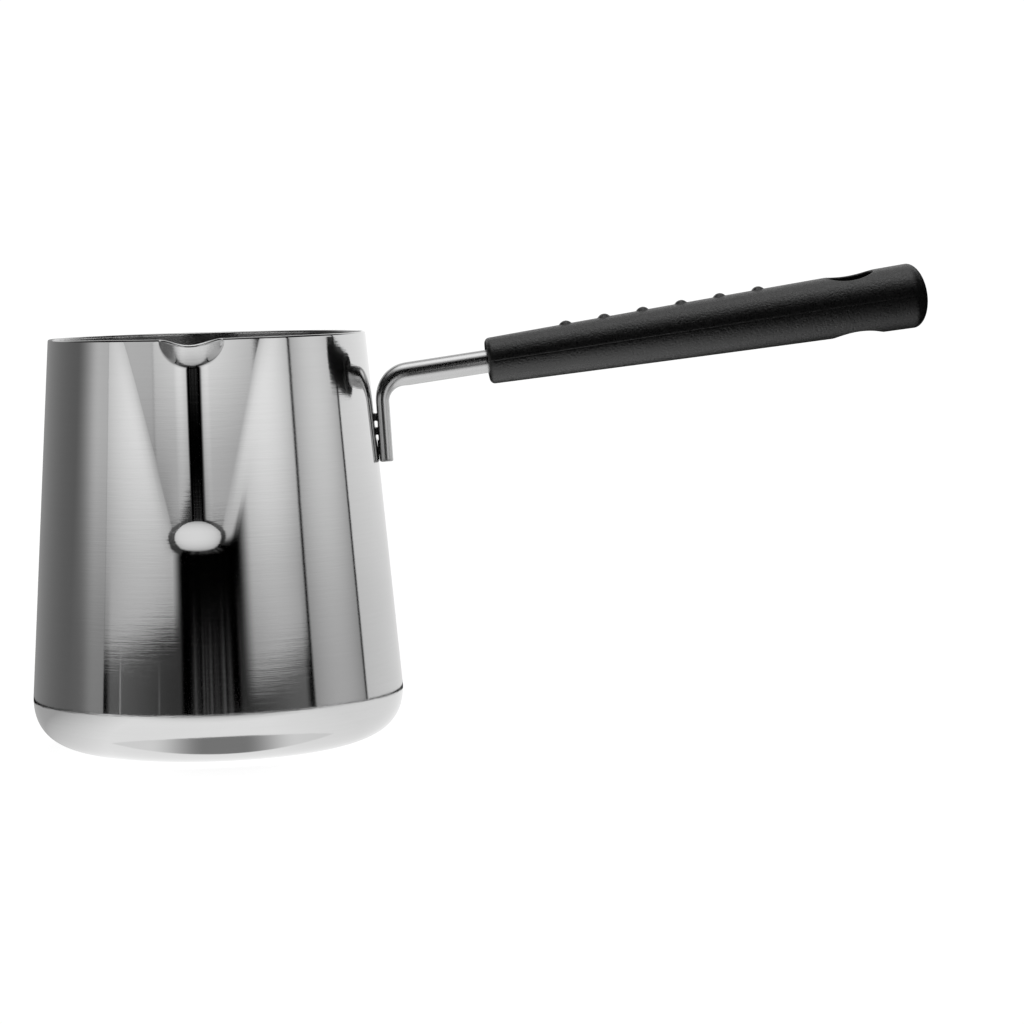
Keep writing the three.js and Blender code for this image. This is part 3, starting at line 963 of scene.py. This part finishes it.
def ring_wall(name, radius, low, high, material):
    """An open upright ring round the cup's axis that only reflections see."""
    columns = 128
    turn = np.linspace(0, 2 * math.pi, columns, endpoint=False)
    ring = np.stack((radius * np.cos(turn), radius * np.sin(turn)), 1)
    points = np.concatenate([np.column_stack((ring, np.full(columns, z))) for z in (low, high)])
    mesh = bpy.data.meshes.new(name)
    mesh.from_pydata((points * MM).tolist(), [], ring_faces(2, columns))
    return stage_piece(name, mesh, material)


def stage_piece(name, mesh, material):
    """A piece of the studio that only reflections see."""
    piece = bpy.data.objects.new(name, mesh)
    bpy.context.scene.collection.objects.link(piece)
    piece.data.materials.append(material)
    piece.visible_camera = False
    piece.visible_diffuse = False
    piece.visible_shadow = False
    return piece


def front_streaks(nodes, azimuth, height):
    """The weak upright streaks that stand in the dark gap round the camera."""
    place = nodes.combine(azimuth, 0.0, 0.0)
    uneven = nodes.noise(place, scale=0.55, detail=2.0, roughness=0.6)
    streak = nodes.ramp(uneven, 0.42, 0.62)
    low = nodes.ramp(height, *STREAKS_LOW, STREAK_LIGHT, 0.0)
    high = nodes.ramp(height, *STREAKS_HIGH, 0.0, STREAK_LIGHT / 2)
    light = nodes.math("MULTIPLY", streak, nodes.math("ADD", low, high))
    light = nodes.math("MULTIPLY", light, nodes.ramp(azimuth, *STREAK_LEFT))
    return nodes.math("MULTIPLY", light, nodes.ramp(azimuth, *STREAK_RIGHT, 1.0, 0.0))


def front_haze(nodes, azimuth, height):
    """The dim zones under the soft boxes, with the thin bright uprights in them."""
    light = 0.0
    for outer, inner, at_outer, at_inner in FRONT_HAZE:
        side = math.copysign(1.0, outer)
        away = nodes.math("MULTIPLY", azimuth, side)
        glow = nodes.ramp(away, abs(inner), abs(outer), at_inner, at_outer)
        glow = nodes.math("MULTIPLY", glow, nodes.ramp(away, abs(inner) - 2, abs(inner)))
        glow = nodes.math("MULTIPLY", glow, nodes.ramp(away, abs(outer), abs(outer) + 4, 1.0, 0.0))
        glow = nodes.math("MULTIPLY", glow, nodes.ramp(height, *HAZE_HEIGHTS, 1.0, 0.0))
        light = nodes.math("ADD", light, glow)
    for place, strength in FRONT_LINES:
        off = nodes.math("ABSOLUTE", nodes.math("SUBTRACT", azimuth, place))
        line = nodes.ramp(off, *LINE_EDGES, strength, 0.0)
        line = nodes.math("MULTIPLY", line, nodes.ramp(height, *LINE_HEIGHTS, 1.0, 0.0))
        light = nodes.math("ADD", light, line)
    return light


def make_cards():
    """The ring round the cup that shines as the cards, the dim zones and the streaks."""
    material, nodes, strength = emitter("cards")
    x, y, z = nodes.position()
    azimuth = bearing(nodes, x, y)
    height = nodes.math("MULTIPLY", z, 1 / MM)
    left, right, at_left, at_right = DIM_SIDE
    light = nodes.ramp(azimuth, left, right, at_left, at_right)
    faded = nodes.ramp(azimuth, right, right + DIM_SIDE_FADE, 1.0, 0.0)
    light = nodes.math("MULTIPLY", light, faded)
    for card in CARDS:
        light = nodes.math("ADD", light, card_light(nodes, azimuth, height, card))
    light = nodes.math("ADD", light, front_haze(nodes, azimuth, height))
    light = nodes.math("ADD", light, front_streaks(nodes, azimuth, height))
    nodes.put(strength, light)
    return ring_wall("cards", CARD_RADIUS, CARD_BOTTOM, CARD_TOP, material)


def keep_dark(piece, cards):
    """Flags the cards off one piece, so that they do not shine on it."""
    flagged = bpy.data.collections.new("flagged")
    cards.light_linking.receiver_collection = flagged
    flagged.objects.link(piece)
    flagged.collection_objects[0].light_linking.link_state = "EXCLUDE"


def table_shade(nodes, x, y):
    """The dark crescent that lies on the table under the front of the cup."""
    azimuth = bearing(nodes, x, y)
    squared = nodes.math("ADD", nodes.math("MULTIPLY", x, x), nodes.math("MULTIPLY", y, y))
    radius = nodes.math("MULTIPLY", nodes.math("SQRT", squared), 1 / MM)
    share = nodes.math("DIVIDE", nodes.math("SUBTRACT", azimuth, SHADE_MIDDLE), SHADE_REACH)
    taper = nodes.math("SUBTRACT", 1.0, nodes.math("MULTIPLY", share, share))
    half = nodes.math("MULTIPLY", taper, SHADE_WIDTH)
    off = nodes.math("ABSOLUTE", nodes.math("SUBTRACT", radius, SHADE_RADIUS))
    inside = nodes.ramp(nodes.math("SUBTRACT", half, off), 0.0, SHADE_EDGE)
    depth = nodes.ramp(nodes.math("ABSOLUTE", share), *SHADE_DEPTH)
    return nodes.math("MULTIPLY", inside, depth)


def table_fall(nodes, x, y):
    """The table is darker at the cup's sides and, in front, further from the cup."""
    azimuth = bearing(nodes, x, y)
    start, end, share = TABLE_LEFT
    left = nodes.ramp(azimuth, start, end, share, 1.0, smooth=False)
    start, end, share = TABLE_RIGHT
    right = nodes.ramp(azimuth, start, end, 1.0, share, smooth=False)
    start, end, share = TABLE_FAR
    forward = nodes.math("MULTIPLY", y, -1 / MM)
    far = nodes.ramp(forward, start, end, 1.0, share, smooth=False)
    return nodes.math("MULTIPLY", nodes.math("MULTIPLY", left, right), far)


def make_table():
    """The round table top that the cup's reflections see, with its dark edge."""
    material, nodes, strength = emitter("table_light")
    x, y, z = nodes.position()
    lit = nodes.math("SUBTRACT", 1.0, table_shade(nodes, x, y))
    lit = nodes.math("MULTIPLY", lit, table_fall(nodes, x, y))
    nodes.put(strength, nodes.math("MULTIPLY", lit, TABLE_LIGHT))
    mesh = bpy.data.meshes.new("table")
    turn = np.linspace(0, 2 * math.pi, TABLE_SIDES, endpoint=False)
    across = TABLE_RADIUS * np.cos(turn)
    away = TABLE_RADIUS * np.sin(turn) - TABLE_FORWARD
    ring = np.stack((across, away, np.full(TABLE_SIDES, -TABLE_DEPTH)), 1)
    mesh.from_pydata((ring * MM).tolist(), [], [list(range(TABLE_SIDES))])
    stage_piece("table", mesh, material)
    dark, nodes, strength = emitter("table_edge")
    strength.default_value = 0.01
    edge = ring_wall("table_edge", TABLE_RADIUS, -TABLE_EDGE, TABLE_EDGE / 2, dark)
    edge.location.y = -TABLE_FORWARD * MM


def make_world():
    """Light from above, below and behind, and plain white for the camera itself."""
    world = bpy.data.worlds.new("studio")
    bpy.context.scene.world = world
    world.use_nodes = True
    nodes = Nodes(world.node_tree)
    split = nodes.add("ShaderNodeSeparateXYZ")
    nodes.put(split.inputs[0], nodes.add("ShaderNodeTexCoord").outputs["Generated"])
    elevation = nodes.math("DEGREES", nodes.math("ARCSINE", split.outputs["Z"]))
    overhead = nodes.ramp(elevation, OVERHEAD_LOW, OVERHEAD_FULL, 0.0, OVERHEAD_STRENGTH)
    ground = nodes.ramp(elevation, -1.0, 0.0, GROUND_LIGHT, 0.0)
    behind = nodes.ramp(split.outputs["Y"], *BACK_FROM, 0.0, BACK_LIGHT)
    light = nodes.math("ADD", nodes.math("ADD", overhead, ground), behind)
    scene_light = nodes.add("ShaderNodeBackground")
    nodes.put(scene_light.inputs["Color"], nodes.combine(light, light, light))
    seen = nodes.add("ShaderNodeBackground")
    seen.inputs["Color"].default_value = grey(1.0)
    seen.inputs["Strength"].default_value = BACKDROP_LIGHT
    path = nodes.add("ShaderNodeLightPath")
    mix = nodes.add("ShaderNodeMixShader")
    nodes.put(mix.inputs[0], path.outputs["Is Camera Ray"])
    nodes.put(mix.inputs[1], scene_light.outputs[0])
    nodes.put(mix.inputs[2], seen.outputs[0])
    output = nodes.add("ShaderNodeOutputWorld")
    nodes.put(output.inputs["Surface"], mix.outputs[0])
    return world


def make_floor():
    """The white floor, which the cup's reflections don't see."""
    bpy.ops.mesh.primitive_circle_add(vertices=128, radius=FLOOR_RADIUS * MM, fill_type="NGON")
    floor = bpy.context.object
    floor.name = "floor"
    material, nodes, shader = new_material("floor_white")
    x, y, z = nodes.position()
    speck = nodes.noise(nodes.combine(x, y, z), scale=300.0)
    nodes.put(shader.inputs["Base Color"], nodes.mix(speck, grey(0.29), grey(0.31)))
    shader.inputs["Roughness"].default_value = 0.8
    shader.inputs["Specular IOR Level"].default_value = 0.1
    shader.inputs["Emission Color"].default_value = grey(1.0)
    shader.inputs["Emission Strength"].default_value = FLOOR_LIGHT
    floor.data.materials.append(material)
    floor.location.z = -FLOOR_DEPTH * MM
    floor.visible_glossy = False
    return floor


def make_camera():
    """The camera looks at the cup and handle from the front, a little above."""
    position = Vector(CAMERA_PLACE) * MM
    forward = Vector(CAMERA_FORWARD).normalized()
    right = Vector(CAMERA_RIGHT)
    right = (right - forward * right.dot(forward)).normalized()
    up = right.cross(forward)
    data = bpy.data.cameras.new("camera")
    data.sensor_width = 36.0
    data.lens = CAMERA_LENS
    data.clip_start = 0.01
    data.clip_end = 20.0
    camera = bpy.data.objects.new("camera", data)
    bpy.context.scene.collection.objects.link(camera)
    axes = Matrix((right, up, -forward)).transposed()
    camera.matrix_world = Matrix.Translation(position) @ axes.to_4x4()
    bpy.context.scene.camera = camera
    return camera


make_camera()
make_world()
make_floor()
make_table()
cards = make_cards()
make_cup()
make_tube()
for weld_name, (weld_height, weld_half) in WELDS.items():
    make_weld(weld_name, weld_height, weld_half)
keep_dark(make_grip(), cards)
bpy.context.scene.view_settings.view_transform = "Standard"
